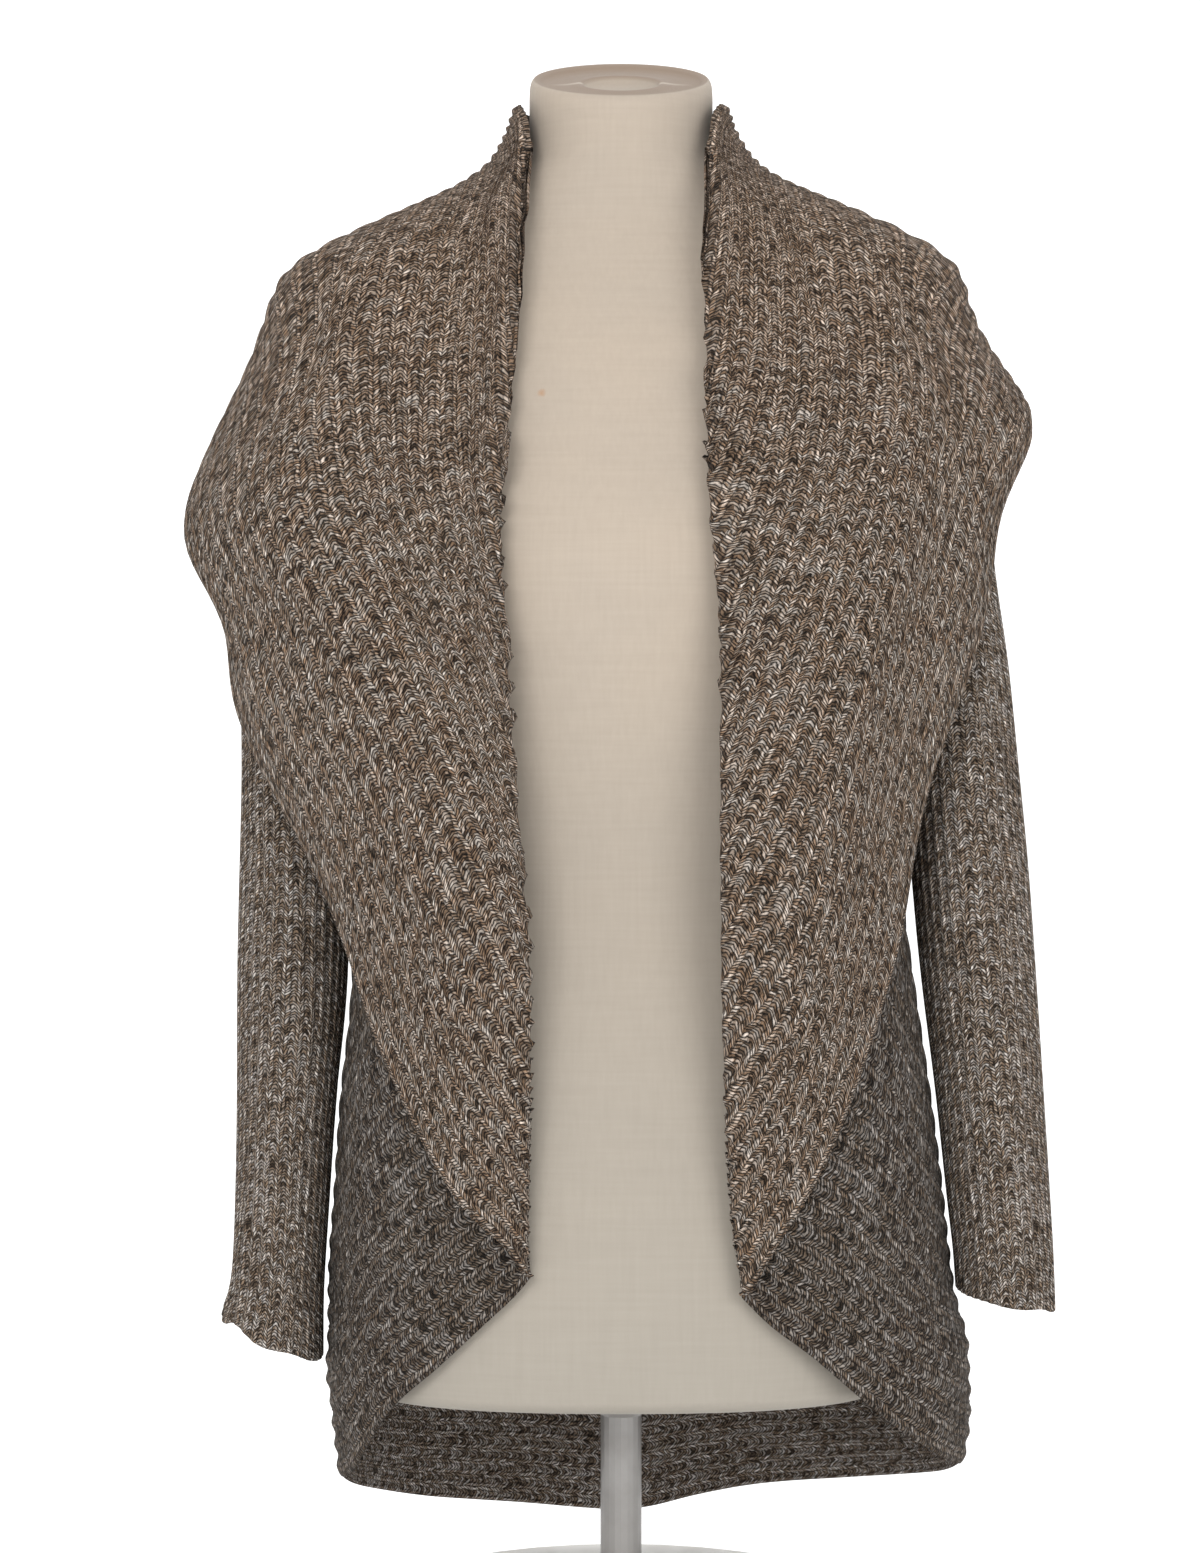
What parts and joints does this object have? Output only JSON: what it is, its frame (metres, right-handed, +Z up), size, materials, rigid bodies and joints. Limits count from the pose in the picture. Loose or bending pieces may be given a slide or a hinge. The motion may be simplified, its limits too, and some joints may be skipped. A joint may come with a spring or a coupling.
{
  "type": "shawl-collar cardigan on a dress form",
  "caption": "Open-front long-sleeved cardigan in chunky rib knit with a deep shawl collar, hanging on a limbless dress form that stands on a post and round foot.",
  "frame": {"origin": "centre of the underside of the round foot, on the floor under the post", "axes": "+Z up along the post; -Y towards the viewer, out of the open front; +X towards the viewer's right"},
  "size_m": [0.5064, 0.2714, 0.9133],
  "materials": {
    "shawl_knit": "matte marled wool rib, warm brown, beige and charcoal",
    "front_knit": "matte marled wool rib, grey brown",
    "back_knit": "matte marled wool rib, grey brown",
    "hem_knit": "matte marled wool rib, dark grey brown",
    "sleeve_knit": "matte marled wool rib, grey brown",
    "collar_knit": "matte marled wool rib, grey brown",
    "form_cover": "matte cream woven cover",
    "post_steel": "satin grey lacquer",
    "foot_enamel": "satin cream enamel"
  },
  "bodies": {
    "root": {"left_shawl": "shawl_knit", "right_shawl": "shawl_knit", "left_front": "front_knit", "right_front": "front_knit", "back_panel": "back_knit", "back_hem_band": "hem_knit", "left_sleeve": "sleeve_knit", "right_sleeve": "sleeve_knit", "neck_stand": "collar_knit", "dress_form": "form_cover", "stand_post": "post_steel", "stand_foot": "foot_enamel"}
  },
  "joints": []
}
